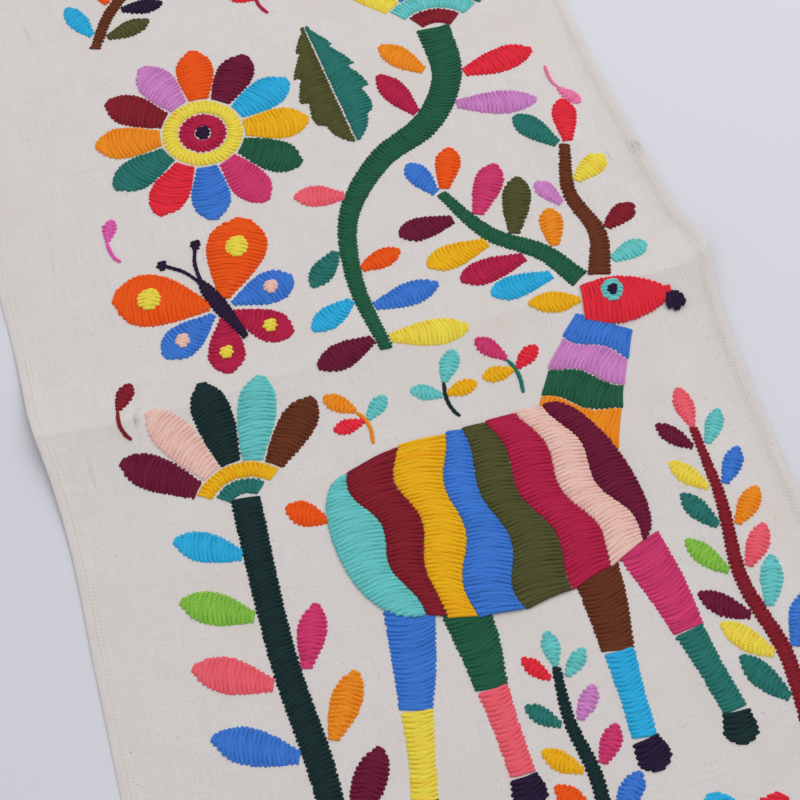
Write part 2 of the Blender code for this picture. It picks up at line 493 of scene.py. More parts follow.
    shade.feed(shade.shader.inputs["Base Color"], colour)
    shade.shader.inputs["Roughness"].default_value = COTTON_ROUGHNESS
    shade.shader.inputs["Sheen Weight"].default_value = COTTON_SHEEN
    shade.shader.inputs["Specular IOR Level"].default_value = COTTON_SHINE
    height = shade.math("MULTIPLY_ADD", over_under, 0.5, round_yarn)
    height = shade.math("MULTIPLY_ADD", slub, SLUB_RISE, height)
    shade.bump(height, WEAVE_DEPTH, WEAVE_STRENGTH)
    return shade.material


cloth = make_cloth()
cloth.data.materials.append(cotton_material())
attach(cloth, "root")
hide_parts("runner_cloth")


# The hem's sewing: one row of lock stitches in off-white thread on all four sides, between the
# hem's inner fold and the cloth's edge. Each stitch dips into a needle hole at both of its ends.
SEW_INSET = 5.6
SEW_STITCH = 2.5
SEW_GAP = 0.55
THREAD_WIDTH = 0.42
THREAD_COLOUR = linear(230, 221, 209)
THREAD_SHADE = linear(216, 206, 192)
THREAD_PLACES = (0.0, 0.18, 0.5, 0.82, 1.0)
THREAD_WIDTHS = (0.5, 0.9, 1.0, 0.9, 0.5)
THREAD_BASES = (-0.35, -0.05, 0.02, -0.05, -0.35)
THREAD_CROWNS = (0.2, 0.24, 0.26, 0.24, 0.2)
THREAD_ANGLES = (-20.0, 40.0, 90.0, 140.0, 200.0)
THREAD_FUZZ = 1800.0
THREAD_ROUGHNESS = 0.7
THREAD_DEPTH = 0.0001


def add_piece(name, points, faces, material, colours=None, laps=None):
    """A mesh object of one kind of thread, riding on the cloth's body."""
    mesh = bpy.data.meshes.new(name)
    mesh.from_pydata(points.tolist(), [], faces.tolist())
    mesh.shade_smooth()
    if colours is not None:
        dye = mesh.attributes.new("dye", "FLOAT_COLOR", "POINT")
        dye.data.foreach_set("color", colours.astype(np.float32).ravel())
    if laps is not None:
        corner = np.empty(len(mesh.loops), dtype=np.int32)
        mesh.loops.foreach_get("vertex_index", corner)
        turns = mesh.uv_layers.new(name="twist")
        turns.data.foreach_set("uv", laps[corner].astype(np.float32).ravel())
    mesh.materials.append(material)
    piece = bpy.data.objects.new(name, mesh)
    bpy.context.scene.collection.objects.link(piece)
    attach(piece, "root")
    return piece


def tube_faces(strands, rings, around, first=0):
    """The faces of `strands` open tubes, each of `rings` rings of `around` points."""
    number = first + np.arange(strands * rings * around).reshape(strands, rings, around)
    near, far = number[:, :-1], number[:, 1:]
    faces = np.stack([near[..., :-1], near[..., 1:], far[..., 1:], far[..., :-1]], axis=-1)
    return faces.reshape(-1, 4)


def lay_tubes(centres, half_widths, base, crown, angles):
    """Points of half-round threads on the cloth.

    centres is strands by rings by 2, on the plan; the other arrays are strands by rings: half the
    thread's width, its height over the cloth, and how high it crowns.
    """
    run = np.gradient(centres, axis=1)
    run /= np.maximum(np.linalg.norm(run, axis=-1, keepdims=True), 1e-9)
    side = np.stack([-run[..., 1], run[..., 0]], axis=-1)
    ground = top_side(centres[..., 0], centres[..., 1])
    out = half_widths[..., None] * np.cos(angles)
    up = (ground + base)[..., None] + crown[..., None] * np.sin(angles)
    plan = centres[:, :, None, :] - side[:, :, None, :] * out[..., None]
    return np.concatenate([plan, up[..., None]], axis=-1) * MM


def sewing_lines():
    """The four sides of the seam, each as points on the plan."""
    half = CLOTH_LENGTH / 2.0 - SEW_INSET
    y = np.arange(-half, half, SEW_STITCH)
    left = np.stack([edge_column("left", y) + SEW_INSET, y], axis=-1)
    right = np.stack([edge_column("right", y) - SEW_INSET, y], axis=-1)
    x = np.arange(left[0, 0], right[0, 0], SEW_STITCH)
    near = np.stack([x, np.full_like(x, -half)], axis=-1)
    far = np.stack([x, np.full_like(x, half)], axis=-1)
    return left, right, near, far


def make_seam():
    share = np.array(THREAD_PLACES) * (1.0 - SEW_GAP / SEW_STITCH)
    angles = np.radians(THREAD_ANGLES)
    starts, ends = [], []
    for line in sewing_lines():
        starts.append(line[:-1])
        ends.append(line[1:])
    starts, ends = np.concatenate(starts), np.concatenate(ends)
    centres = starts[:, None] + (ends - starts)[:, None] * share[None, :, None]
    shape = centres.shape[:2]
    width = np.broadcast_to(np.array(THREAD_WIDTHS) * THREAD_WIDTH / 2.0, shape)
    base = np.broadcast_to(np.array(THREAD_BASES), shape)
    crown = np.broadcast_to(np.array(THREAD_CROWNS), shape)
    points = lay_tubes(centres, width, base, crown, angles)
    faces = tube_faces(*shape, len(angles))
    shade = Shade("sewing_thread")
    place = shade.node("ShaderNodeTexCoord").outputs["Object"]
    fibre = shade.noise(place, THREAD_FUZZ)
    colour = shade.mix(fibre, THREAD_SHADE, THREAD_COLOUR)
    shade.feed(shade.shader.inputs["Base Color"], colour)
    shade.shader.inputs["Roughness"].default_value = THREAD_ROUGHNESS
    shade.bump(fibre, THREAD_DEPTH)
    return add_piece("hem_sewing", points.reshape(-1, 3), faces, shade.material)


hem_sewing = make_seam()


# The embroidery yarn: soft dyed cotton of several plies, laid back and forth over each shape in
# close herringbone stitches. Two strands share each tooth of the edge, and each strand rises over
# the one before it. Thin stalks are worked in stem stitch.
TOOTH = 2.45
BACK_STEP = 0.5
STRAND_WIDTH = 2.3
STRAND_CROWN = 0.64
SLANT = 0.22
ARCH = 0.085
UNEVEN = 0.055
STALK_STEP = 3.1
STALK_STITCH = 6.4
STALK_OFFSET = 0.5
STALK_UNEVEN = 0.15
BACK_WIDTH = 1.0
BLOOM_INSET = 0.85
BLOOM_RISE = 0.28
BLOOM_ROWS = 30
NARROWEST_BLOOM = 0.2
YARN_TWIST = 0.85
TWIST_STARTS = 9.0
TOOTH_START = 0.25
TOOTH_UNEVEN = 0.07
LONGEST_LEAN = 5.0
END_TAPER = 9.0
LEAST_TAPER = 0.15
REACH = 0.1
REACH_UNEVEN = 0.16
SHORTEST_STRAND = 0.3
FIRST_RING = (0.14, 0.5)
SECOND_RING = (0.34, 2.0)
LAST_RING = (0.28, 1.6)
RING_STEP = 7.0
MOST_INNER_RINGS = 8
START_WIDTHS, END_WIDTHS = (0.38, 0.76, 0.97), (0.76, 0.38)
START_BASES, MIDDLE_BASE, END_BASES = (-0.45, 0.08, 0.34), 0.16, (0.04, -0.12, -0.45)
START_CROWNS, END_CROWNS = (0.55, 0.9, 1.0), (0.9, 0.55)
ARCH_FIRST = 2.0
ARCH_FULL_AFTER = 8.0
BOW_UNEVEN = 0.007
SWAY_UNEVEN = 0.006
WIDTH_UNEVEN = 0.05
HEIGHT_UNEVEN = 0.035
STRAND_ANGLES = (-32.0, 28.0, 90.0, 152.0, 212.0)
BACK_DROPS = ((0.15, -0.05, 0.15), (-0.08, -0.26, -0.08), (0.15, -0.05, 0.15))

DYES = {
    "sky": (42, 155, 195),
    "royal": (56, 108, 184),
    "spruce": (25, 43, 43),
    "emerald": (33, 82, 58),
    "jade": (38, 103, 94),
    "lime": (120, 170, 62),
    "olive": (73, 73, 40),
    "mustard": (247, 158, 22),
    "lemon": (238, 193, 66),
    "orange": (236, 125, 28),
    "flame": (244, 78, 22),
    "scarlet": (205, 40, 54),
    "crimson": (161, 30, 62),
    "plum": (97, 24, 48),
    "maroon": (119, 29, 39),
    "brown": (92, 47, 28),
    "aubergine": (38, 26, 48),
    "hot_pink": (186, 52, 98),
    "pink": (217, 108, 147),
    "orchid": (199, 85, 152),
    "lilac": (184, 117, 172),
    "blush": (217, 173, 160),
    "coral": (225, 87, 99),
    "turquoise": (94, 177, 173),
}
DYE_DEPTH = 1.5
DYE_UNEVEN = 0.05
# Painted shade in the ply grooves and painted highlight on the ply crests, as scales of the dye.
YARN_GROOVE_SHADE = 0.66
YARN_CREST_HIGHLIGHT = 1.18
YARN_ROUGHNESS = 0.62
YARN_SHINE = 0.06
YARN_FUZZ = 1400.0
PLY_DEPTH = 0.00022


def yarn_material():
    """Dyed cotton yarn: each strand a little lighter or darker, with painted shade in the grooves
    between the turns of its plies and painted highlight on their crests, mixed with random fuzz.
    """
    shade = Shade("embroidery_yarn")
    dye = shade.node("ShaderNodeAttribute", attribute_name="dye").outputs["Color"]
    laps = shade.node("ShaderNodeUVMap", uv_map="twist").outputs["UV"]
    split = shade.node("ShaderNodeSeparateXYZ")
    shade.feed(split.inputs[0], laps)
    along = shade.math("MULTIPLY", split.outputs["X"], 2.0 * np.pi / YARN_TWIST)
    around = shade.math("MULTIPLY", split.outputs["Y"], 5.0)
    plies = shade.math("SINE", shade.math("ADD", along, around))
    plies = shade.math("MULTIPLY_ADD", plies, 0.5, 0.5)
    place = shade.node("ShaderNodeTexCoord").outputs["Object"]
    fuzz = shade.noise(place, YARN_FUZZ, 3.0)
    height = shade.math("MULTIPLY_ADD", fuzz, 0.6, plies)
    # Painted shade and highlight: the dye is darkened in the ply grooves and brightened on the ply
    # crests, and the fuzz noise adds random tone to the same mix.
    light = shade.ramp(height, 0.0, 1.5)
    groove_shade = shade.node("ShaderNodeVectorMath", operation="SCALE")
    shade.feed(groove_shade.inputs[0], dye)
    groove_shade.inputs["Scale"].default_value = YARN_GROOVE_SHADE
    crest_highlight = shade.node("ShaderNodeVectorMath", operation="SCALE")
    shade.feed(crest_highlight.inputs[0], dye)
    crest_highlight.inputs["Scale"].default_value = YARN_CREST_HIGHLIGHT
    colour = shade.mix(light, groove_shade.outputs[0], crest_highlight.outputs[0])
    shade.feed(shade.shader.inputs["Base Color"], colour)
    shade.shader.inputs["Roughness"].default_value = YARN_ROUGHNESS
    shade.shader.inputs["Specular IOR Level"].default_value = YARN_SHINE
    shade.bump(height, PLY_DEPTH)
    return shade.material


yarn = yarn_material()


def along_edge(edge, steps, at):
    """Points of an edge of a shape, at distances measured along the shape's middle."""
    return np.stack([np.interp(at, steps, edge[:, 0]), np.interp(at, steps, edge[:, 1])], axis=-1)


def stitch_shape(left, right, chance):
    """The strands that fill one shape: where each starts and ends, in the order of working."""
    middle = (left + right) / 2.0
    steps = np.concatenate([[0.0], np.cumsum(np.linalg.norm(np.diff(middle, axis=0), axis=1))])
    teeth = max(2, round(steps[-1] / TOOTH))
    tooth = steps[-1] / teeth
    wide = np.interp(np.arange(teeth) * tooth, steps, np.linalg.norm(left - right, axis=1))
    at = (np.arange(teeth) + TOOTH_START) * tooth
    at = at + chance.normal(0.0, TOOTH_UNEVEN * tooth, teeth)
    near_end = np.clip(np.minimum(at, steps[-1] - at) / END_TAPER, LEAST_TAPER, 1.0)
    lean = np.minimum(SLANT * wide, LONGEST_LEAN) / 2.0 * near_end
    back = BACK_STEP / 2.0
    left_out = along_edge(left, steps, at - lean - back)
    right_in = along_edge(right, steps, at + lean + tooth / 4.0 + back)
    right_out = along_edge(right, steps, at + lean + tooth / 4.0 - back)
    left_in = along_edge(left, steps, at - lean + tooth + back)
    starts = np.stack([left_out, right_out], axis=1).reshape(-1, 2)
    ends = np.stack([right_in, left_in], axis=1).reshape(-1, 2)
    reach = chance.normal(0.0, REACH_UNEVEN, (len(starts), 2))
    run = (ends - starts) / np.maximum(np.linalg.norm(ends - starts, axis=1), 0.1)[:, None]
    return starts - run * (REACH + reach[:, :1]), ends + run * (REACH + reach[:, 1:])


def stitch_stalk(points, chance):
    """Stem stitch: short strands along a line, each beside the last half of the one before."""
    path = smooth_path(points, 120)
    steps = np.concatenate([[0.0], np.cumsum(np.linalg.norm(np.diff(path, axis=0), axis=1))])
    count = max(2, round((steps[-1] - STALK_STITCH) / STALK_STEP) + 1)
    at = np.linspace(0.0, steps[-1] - STALK_STITCH, count)
    at = at + chance.normal(0.0, STALK_UNEVEN, count)
    side = sideways(path) * STALK_OFFSET
    starts = along_edge(path - side, steps, at)
    return starts, along_edge(path + side, steps, at + STALK_STITCH)


def ring_share(ring, long):
    """How far along a strand a ring sits: so many millimetres, or a share of a short strand."""
    most, apart = ring
    return np.minimum(most, apart / long)[:, None]


def lay_strands(starts, ends, lift, chance, arch=0.0):
    """The points of the strands of one shape, and how they turn."""
    count = len(starts)
    long = np.maximum(np.linalg.norm(ends - starts, axis=1), SHORTEST_STRAND)
    inner = int(np.clip(np.ceil(long.max() / RING_STEP), 1, MOST_INNER_RINGS))
    first = ring_share(FIRST_RING, long)
    second = ring_share(SECOND_RING, long)
    even = np.linspace(0.0, 1.0, inner + 1)[None, 1:]
    last = 1.0 - ring_share(LAST_RING, long)
    share = np.concatenate(
        [
            np.zeros((count, 1)),
            first,
            second,
            second + (last - second) * even,
            1.0 - first,
            np.ones((count, 1)),
        ],
        axis=1,
    )
    run = ends - starts
    side = np.stack([-run[:, 1], run[:, 0]], axis=-1) / long[:, None]
    turn = np.where(np.arange(count) % 2 == 0, 1.0, -1.0)
    from_end = np.minimum(np.arange(count), np.arange(count)[::-1])
    full = np.clip((from_end + ARCH_FIRST) / ARCH_FULL_AFTER, 0.0, 1.0)
    rounding = arch * turn * full
    bow = rounding[:, None] + chance.normal(0.0, BOW_UNEVEN, (count, 1))
    bow = bow * long[:, None] * np.sin(np.pi * share)
    sway = chance.normal(0.0, SWAY_UNEVEN, (count, 1)) * long[:, None]
    sway = sway * np.sin(2.0 * np.pi * share)
    centres = starts[:, None] + run[:, None] * share[..., None]
    centres = centres + side[:, None] * (bow + sway)[..., None]
    rings = share.shape[1]
    middle = rings - 5
    shape = np.ones((count, rings))
    width = shape * np.array([*START_WIDTHS, *[1.0] * middle, *END_WIDTHS])
    width = width * STRAND_WIDTH / 2.0 * chance.normal(1.0, WIDTH_UNEVEN, (count, 1))
    base = shape * np.array([*START_BASES, *[MIDDLE_BASE] * (middle - 1), *END_BASES])
    uneven = chance.normal(0.0, UNEVEN, (count, rings)) * np.sin(np.pi * share)
    base = base + lift + chance.normal(0.0, HEIGHT_UNEVEN, (count, 1)) + uneven
    crown = shape * np.array([*START_CROWNS, *[1.0] * middle, *END_CROWNS]) * STRAND_CROWN
    angles = np.radians(STRAND_ANGLES)
    points = lay_tubes(centres, width, base, crown, angles)
    laps = np.empty((count, rings, len(angles), 2))
    turned = chance.uniform(0.0, TWIST_STARTS, (count, 1))
    laps[..., 0] = (share * long[:, None] + turned)[..., None]
    laps[..., 1] = np.linspace(0.0, 1.0, len(angles))
    return points, laps


def lay_back_stitches(starts, ends):
    """The short stitches under the cloth, from where a strand goes down to where the next rises."""
    share = np.array([0.0, 0.5, 1.0])
    centres = ends[:-1, None] + (starts[1:] - ends[:-1])[:, None] * share[None, :, None]
    run = centres[:, -1] - centres[:, 0]
    run /= np.maximum(np.linalg.norm(run, axis=1), 0.05)[:, None]
    side = np.stack([-run[:, 1], run[:, 0]], axis=-1)
    out = np.array([-0.5, 0.0, 0.5]) * BACK_WIDTH
    plan = centres[:, :, None] + side[:, None, None] * out[None, None, :, None]
    height = underside(plan[..., 0], plan[..., 1]) + np.array(BACK_DROPS)
    return np.concatenate([plan, height[..., None]], axis=-1) * MM, plan


def lay_bloom(left, right, lift):
    """The yarn's soft bloom, as one thin layer just over the cloth that closes a shape's gaps."""
    share = np.linspace(0.0, 1.0, 3)[None, :, None]
    rows = np.unique(np.linspace(0, len(left) - 1, BLOOM_ROWS).round().astype(int))
    left, right = left[rows], right[rows]
    across = left[:, None] * (1.0 - share) + right[:, None] * share
    middle = (left + right)[:, None] / 2.0
    wide = np.maximum(np.linalg.norm(left - right, axis=1), 0.1)[:, None, None]
    drawn_in = np.maximum(1.0 - 2.0 * BLOOM_INSET / wide, NARROWEST_BLOOM)
    plan = middle + (across - middle) * drawn_in
    height = top_side(plan[..., 0], plan[..., 1]) + BLOOM_RISE + lift
    points = np.concatenate([plan, height[..., None]], axis=-1) * MM
    return points[None], plan[None]


def embroider(name, shapes, seed, stalks=()):
    """One piece of embroidery: its shapes filled with strands, and its stalks, in one mesh."""
    chance = np.random.default_rng(seed)
    runs = []
    for left, right, dye, lift in shapes:
        starts, ends = stitch_shape(left, right, chance)
        runs.append((*lay_bloom(left, right, lift), dye))
        runs.append((*lay_strands(starts, ends, lift, chance, ARCH), dye))
        runs.append((*lay_back_stitches(starts, ends), dye))
    for line, dye in stalks:
        runs.append((*lay_strands(*stitch_stalk(line, chance), 0.0, chance), dye))
    points, faces, laps, colours = [], [], [], []
    first = 0
    for strands, turns, dye in runs:
        count, rings, around, _ = strands.shape
        tone = chance.normal(1.0, DYE_UNEVEN, (count, 1, 1, 1)) * DYE_DEPTH
        tint = np.ones((count, rings, around, 4)) * np.array(linear(*DYES[dye]))
        tint[..., :3] = np.clip(tint[..., :3] * tone, 0.0, 1.0)
        points.append(strands.reshape(-1, 3))
        laps.append(turns.reshape(-1, 2))
        colours.append(tint.reshape(-1, 4))
        faces.append(tube_faces(count, rings, around, first))
        first += count * rings * around
    return add_piece(
        name,
        np.concatenate(points),
        np.concatenate(faces),
        yarn,
        np.concatenate(colours),
        np.concatenate(laps),
    )


def heading(turn):
    """The direction of a compass turn in degrees: 0 is along the cloth, 90 across it to +x."""
    return np.array([np.sin(np.radians(turn)), np.cos(np.radians(turn))])


def smooth_path(points, count=60):
    points = np.array(points, dtype=float)
    steps = np.concatenate([[0.0], np.cumsum(np.linalg.norm(np.diff(points, axis=0), axis=1))])
    at = np.linspace(0.0, steps[-1], count)
    return np.stack([smooth_line(steps, points[:, k], at) for k in (0, 1)], axis=-1)


def sideways(path):
    """The direction to the left of a path, at each of its points."""
    run = np.gradient(path, axis=0)
    run /= np.linalg.norm(run, axis=1)[:, None]
    return np.stack([-run[:, 1], run[:, 0]], axis=-1)


def ribbon(points, widths, dye, lift=0.0):
    """A stem, leg or tendril: a shape of varying width along a path."""
    path = smooth_path(points)
    places = np.linspace(0.0, 1.0, len(path))
    half = np.interp(places, np.linspace(0.0, 1.0, len(widths)), widths) / 2.0
    side = sideways(path) * half[:, None]
    return path + side, path - side, dye, lift


LOBE_TIP = 0.58
LOBE_BASE = 1.2
BLUNTEST_TIP = 0.30


def lobe(root, turn, length, width, dye, bend=0.0, fullest=0.62, neck=0.3, lift=0.0):
    """A petal or leaf: narrow at its root, widest at the share `fullest`, and round at its tip."""
    ahead = heading(turn)
    across = np.array([ahead[1], -ahead[0]])
    t = np.linspace(0.0, 1.0, 48)
    path = np.array(root) + np.outer(t * length, ahead) + np.outer(bend * length * t * t, across)
    tip = np.sin(np.pi * t ** (np.log(0.5) / np.log(fullest))) ** LOBE_TIP
    opening = np.sin(0.5 * np.pi * np.minimum(t / fullest, 1.0)) ** LOBE_BASE
    base = neck + (1.0 - neck) * opening
    half = np.where(t < fullest, base, np.maximum(tip, BLUNTEST_TIP)) * width / 2.0
    side = sideways(path) * half[:, None]
    return path + side, path - side, dye, lift


DISC_TURN = 20.0


def disc(centre, radius, dye, lift=0.0):
    """A round berry, eye or spot."""
    along = np.linspace(-1.0, 1.0, 24)
    ahead = heading(DISC_TURN)
    across = np.array([-ahead[1], ahead[0]])
    path = np.array(centre) + np.outer(along * radius, ahead)
    side = np.outer(np.sqrt(np.clip(1.0 - along**2, 0.04, 1.0)) * radius, across)
    return path + side, path - side, dye, lift


WAVE_SHIFT = 7.0
CAP_ROUNDING = 0.9


def bands(spine, half_heights, cuts, dyes, wave, waves, round_ends=False, lift=0.0):
    """Bands across a body or neck, with wavy joins. cuts are shares of the spine's length."""
    path = smooth_path(spine, 200)
    side = sideways(path)
    places = np.linspace(0.0, 1.0, len(path))
    knots = np.linspace(0.0, 1.0, len(half_heights))
    high = smooth_line(knots, np.array(half_heights, dtype=float), places)
    length = np.linalg.norm(np.diff(path, axis=0), axis=1).sum()
    s = np.linspace(1.0, -1.0, 80)

    def at(share, height):
        across = [np.interp(share, places, side[:, k]) * height for k in (0, 1)]
        spot = [np.interp(share, places, path[:, k]) for k in (0, 1)]
        return np.stack([spot[0] + across[0], spot[1] + across[1]], axis=-1)

    def join(cut):
        ends = cut in (cuts[0], cuts[-1])
        sweep = np.pi * waves * (s + 1.0) + cut * WAVE_SHIFT
        sway = 0.0 if ends else wave / length * np.sin(sweep)
        share = np.clip(cut + sway, 0.0, 1.0)
        return at(share, s * np.interp(share, places, high))

    def cap(inner, outer):
        share = inner + (outer - inner) * np.sqrt(1.0 - s * s) ** CAP_ROUNDING
        return at(share, s * np.interp(inner, places, high))

    shapes = []
    for start, end, dye in zip(cuts[:-1], cuts[1:], dyes):
        first, last = join(start), join(end)
        if round_ends and start == cuts[0]:
            first = cap(end, start)
        if round_ends and end == cuts[-1]:
            last = cap(start, end)
        shapes.append((first, last, dye, lift))
    return shapes


# The stag: four legs in two lengths with a hoof, then the neck and the body over them in wavy
# bands, and the head, eye, ear and tail. It is worked in the same yarn and stitch as all the rest.
BODY_CUTS = (0.0, 0.15, 0.27, 0.40, 0.52, 0.65, 0.78, 0.89, 1.0)
BODY_DYES = ("turquoise", "maroon", "mustard", "royal", "olive", "crimson", "blush", "plum")
LEG_COLUMNS = ("top", "foot", "thigh", "shin", "hoof")
LEGS = (
    (-33, -56, "royal", "lemon", "spruce"),
    (-5, -4, "emerald", "coral", "aubergine"),
    (70, 62, "brown", "sky", "aubergine"),
    (97, 112, "hot_pink", "jade", "spruce"),
)
KNEE, FOOT = -214.0, -262.0
THIGH_WIDTHS, SHIN_WIDTHS = [28, 24, 18], [17, 14, 14]
KNEE_GAP = 1.2
HOOF_GAP = 1.8
HOOF_LENGTH, HOOF_WIDTH = 17, 19


def stag_shapes():
    shapes = []
    for row in LEGS:
        leg = dict(zip(LEG_COLUMNS, row))
        knee = leg["top"] * 0.45 + leg["foot"] * 0.55
        thigh = [(leg["top"], -160), ((leg["top"] + knee) / 2.0 + 1.0, -186), (knee, KNEE)]
        shin = [(knee, KNEE - KNEE_GAP), ((knee + leg["foot"]) / 2.0, -240), (leg["foot"], FOOT)]
        shapes.append(ribbon(thigh, THIGH_WIDTHS, leg["thigh"]))
        shapes.append(ribbon(shin, SHIN_WIDTHS, leg["shin"]))
        hoof_turn = 180 + (leg["foot"] - leg["top"]) * 0.6
        hoof = (leg["foot"], FOOT - HOOF_GAP), hoof_turn, HOOF_LENGTH, HOOF_WIDTH, leg["hoof"]
        shapes.append(lobe(*hoof, fullest=0.6, neck=0.8))
    neck = [(86, -92), (108, -52), (129, -23)]
    neck_dyes = ("orange", "emerald", "lilac", "royal")
    shapes += bands(neck, [24, 22, 17], (0.0, 0.30, 0.54, 0.78, 1.0), neck_dyes, 2.2, 1.1)
    body = [(-60, -124), (-20, -118), (28, -122), (72, -116), (108, -108)]
    half_heights = [37, 51, 56, 53, 44]
    shapes += bands(body, half_heights, BODY_CUTS, BODY_DYES, 3.4, 1.8, True, lift=0.75)
    shapes += [
        lobe((121, -8), 103, 52, 31, "scarlet", bend=-0.06, fullest=0.34, neck=0.75, lift=0.7),
        lobe((168, -21), 112, 11, 13, "aubergine", fullest=0.5, neck=0.8, lift=1.3),
        lobe((120, -6), -78, 30, 15, "mustard", fullest=0.5),
        disc((140, -6), 6.8, "turquoise", lift=1.3),
        disc((140, -6), 3.2, "aubergine", lift=1.9),
        lobe((-60, -98), -58, 24, 15, "flame", bend=0.1, fullest=0.6),
    ]
    return shapes


stag = embroider("stag", stag_shapes(), seed=21)


# The stag's antlers: two branches that carry leaves, each leaf in its own colour, worked out from
# the branch to the leaf's round tip.
LEAF_COLUMNS = ("x", "y", "turn", "length", "width", "dye")
ANTLER_LEAVES = (
    (110, 16, -94, 38, 17, "sky"),
    (99, 33, -96, 41, 18, "crimson"),
    (81, 50, -98, 39, 18, "mustard"),
    (67, 72, -92, 34, 17, "plum"),
    (119.5, 35.5, 12, 27, 15, "orange"),
    (99, 51, 22, 42, 18, "olive"),
    (82.5, 71, 34, 39, 18, "hot_pink"),
    (63, 94, -22, 27, 15, "royal"),
    (69, 95, 24, 31, 16, "flame"),
    (148, 15, 76, 24, 14, "turquoise"),
    (153.5, 39, 62, 24, 14, "maroon"),
    (133.5, 64, -26, 21, 12, "lilac"),
    (148, 77, 60, 26, 15, "lemon"),
    (146, 106, -32, 34, 16, "jade"),
    (153, 106, 14, 33, 16, "scarlet"),
)


def leaf_of(row, **shape):
    leaf = dict(zip(LEAF_COLUMNS, row))
    root = (leaf["x"], leaf["y"])
    return lobe(root, leaf["turn"], leaf["length"], leaf["width"], leaf["dye"], **shape)


antler_shapes = [
    ribbon([(125, 8), (112, 32), (86, 54), (66, 92)], [14, 12, 10, 7], "emerald"),
    ribbon([(137, 7), (147, 36), (141, 70), (150, 104)], [14, 11, 9, 7], "brown"),
]
antler_shapes += [leaf_of(row, fullest=0.66, neck=0.42) for row in ANTLER_LEAVES]
antlers = embroider("antlers", antler_shapes, seed=22)


# Round flowers: petals in a ring, each worked across its width, round two rings and a boss that
# are worked outwards from the middle.
HEART = 0.40
FULLEST_AT = 0.76
ROUND_PETAL_SPREAD = 0.925
BOSS = 4.8
RING_GAP = 0.4
PETAL_DYES = (
    "flame", "plum", "sky", "mustard", "emerald", "hot_pink",
    "royal", "scarlet", "jade", "orange", "maroon", "lilac",
)


def ring(centre, inner, outer, dye):
    turn = np.linspace(0.0, 360.0, 120)
    out = np.stack([heading(angle) for angle in turn])
    return np.array(centre) + out * outer, np.array(centre) + out * inner, dye, 0.0


def round_flower(centre, radius, petals, dyes, rings, turn=0.0):
    heart = radius * HEART
    width = 2.0 * np.pi * radius * FULLEST_AT / petals * ROUND_PETAL_SPREAD
    shapes = []
    for k in range(petals):
        angle = turn + 360.0 * k / petals
        root = np.array(centre) + heading(angle) * heart
        dye = dyes[k % len(dyes)]
        shapes.append(lobe(root, angle, radius - heart, width, dye, fullest=0.6, neck=0.55))
    edges = np.linspace(heart - 1.0, BOSS, len(rings) + 1)
    for dye, outer, inner in zip(rings, edges[:-1], edges[1:]):
        shapes.append(ring(centre, inner + RING_GAP, outer, dye))
    shapes.append(disc(centre, BOSS, "aubergine"))
    return shapes


round_flowers = embroider(
    "round_flowers",
    round_flower((-62, 180), 66, 12, PETAL_DYES, ("lemon", "crimson"), 8)
    + round_flower(
        (84, -356), 56, 10, ("sky", "scarlet", "olive", "lilac", "mustard"), ("aubergine", "orange")
    )
    + round_flower((116, 440), 44, 9, ("royal", "coral", "spruce"), ("mustard", "maroon"), 12),
    seed=23,
)


# Open flowers: long petals in the same yarn that fan out of a cup of curved bands, at the end of
# a stem. Each band and each petal is worked on its own, with a thread's width of cloth between.
CUP_BAND = 0.12
CUP_START = 0.13
CUP_SPREAD = 0.75
CUP_WIDENS = 0.14
PETAL_OFF_CUP = 0.5
OUTER_PETAL_SHORTER = 0.16
EVERY_OTHER_LONGER = 0.05
PETAL_BEND = 0.07
PETAL_WIDTH_AT = 0.6
OPEN_PETAL_SPREAD = 0.925


def open_flower(base, turn, size, cup_dyes, petal_dyes, spread):
    base = np.array(base, dtype=float)
    step = size * CUP_BAND
    near = size * CUP_START
    shapes = []
    for k, dye in enumerate(cup_dyes):
        angles = turn + np.linspace(-1.0, 1.0, 30) * spread * (CUP_SPREAD + CUP_WIDENS * k)
        out = np.stack([heading(angle) for angle in angles])
        shapes.append((base + out * (near + step - 0.2), base + out * (near + 0.4), dye, 0.0))
        near += step
    for k, dye in enumerate(petal_dyes):
        share = (k + 0.5) / len(petal_dyes) * 2.0 - 1.0
        angle = turn + share * spread
        root = base + heading(angle) * (near + PETAL_OFF_CUP)
        shorter = 1.0 - OUTER_PETAL_SHORTER * abs(share) + EVERY_OTHER_LONGER * (k % 2)
        length = (size - near) * shorter
        around = near + length * PETAL_WIDTH_AT
        width = 2.0 * np.radians(spread) / len(petal_dyes) * around
        width *= OPEN_PETAL_SPREAD
        shapes.append(lobe(root, angle, length, width, dye, bend=PETAL_BEND * share, neck=0.55))
    return shapes


open_flowers = embroider(
    "open_flowers",
    open_flower(
        (102, 208), 8, 108, ("maroon", "turquoise"),
        ("lemon", "royal", "crimson", "orange", "jade"), 50,
    )
    + open_flower(
        (-100, -80), -4, 84, ("jade", "mustard"),
        ("plum", "blush", "spruce", "turquoise", "brown"), 56,
    )
    + open_flower(
        (-92, 414), -12, 74, ("mustard", "emerald"),
        ("hot_pink", "sky", "olive", "flame", "plum"), 60,
    )
    + open_flower(
        (-70, -412), -14, 94, ("crimson", "lime"),
        ("royal", "mustard", "plum", "jade", "coral"), 58,
    ),
    seed=24,
)


# Stems and their leaves. The thick stems carry the open flowers, and the fronds have leaves in
# pairs. A large leaf is worked in two halves, with the bare cloth left between them as its vein.
HALF_VEIN = 0.4
NOTCH_DEPTH = 0.26
NOTCH_CURVE = 1.5
NARROWEST_HALF = 2.5
FROND_STARTS = 0.12
FROND_ENDS = 0.94
LEAF_OFF_STEM = 1.5
FROND_TAPER = 0.30
FROND_LEAF_BEND = 0.10
TIP_OFF_STEM = 0.6
TIP_LENGTH, TIP_WIDTH = 0.78, 0.8


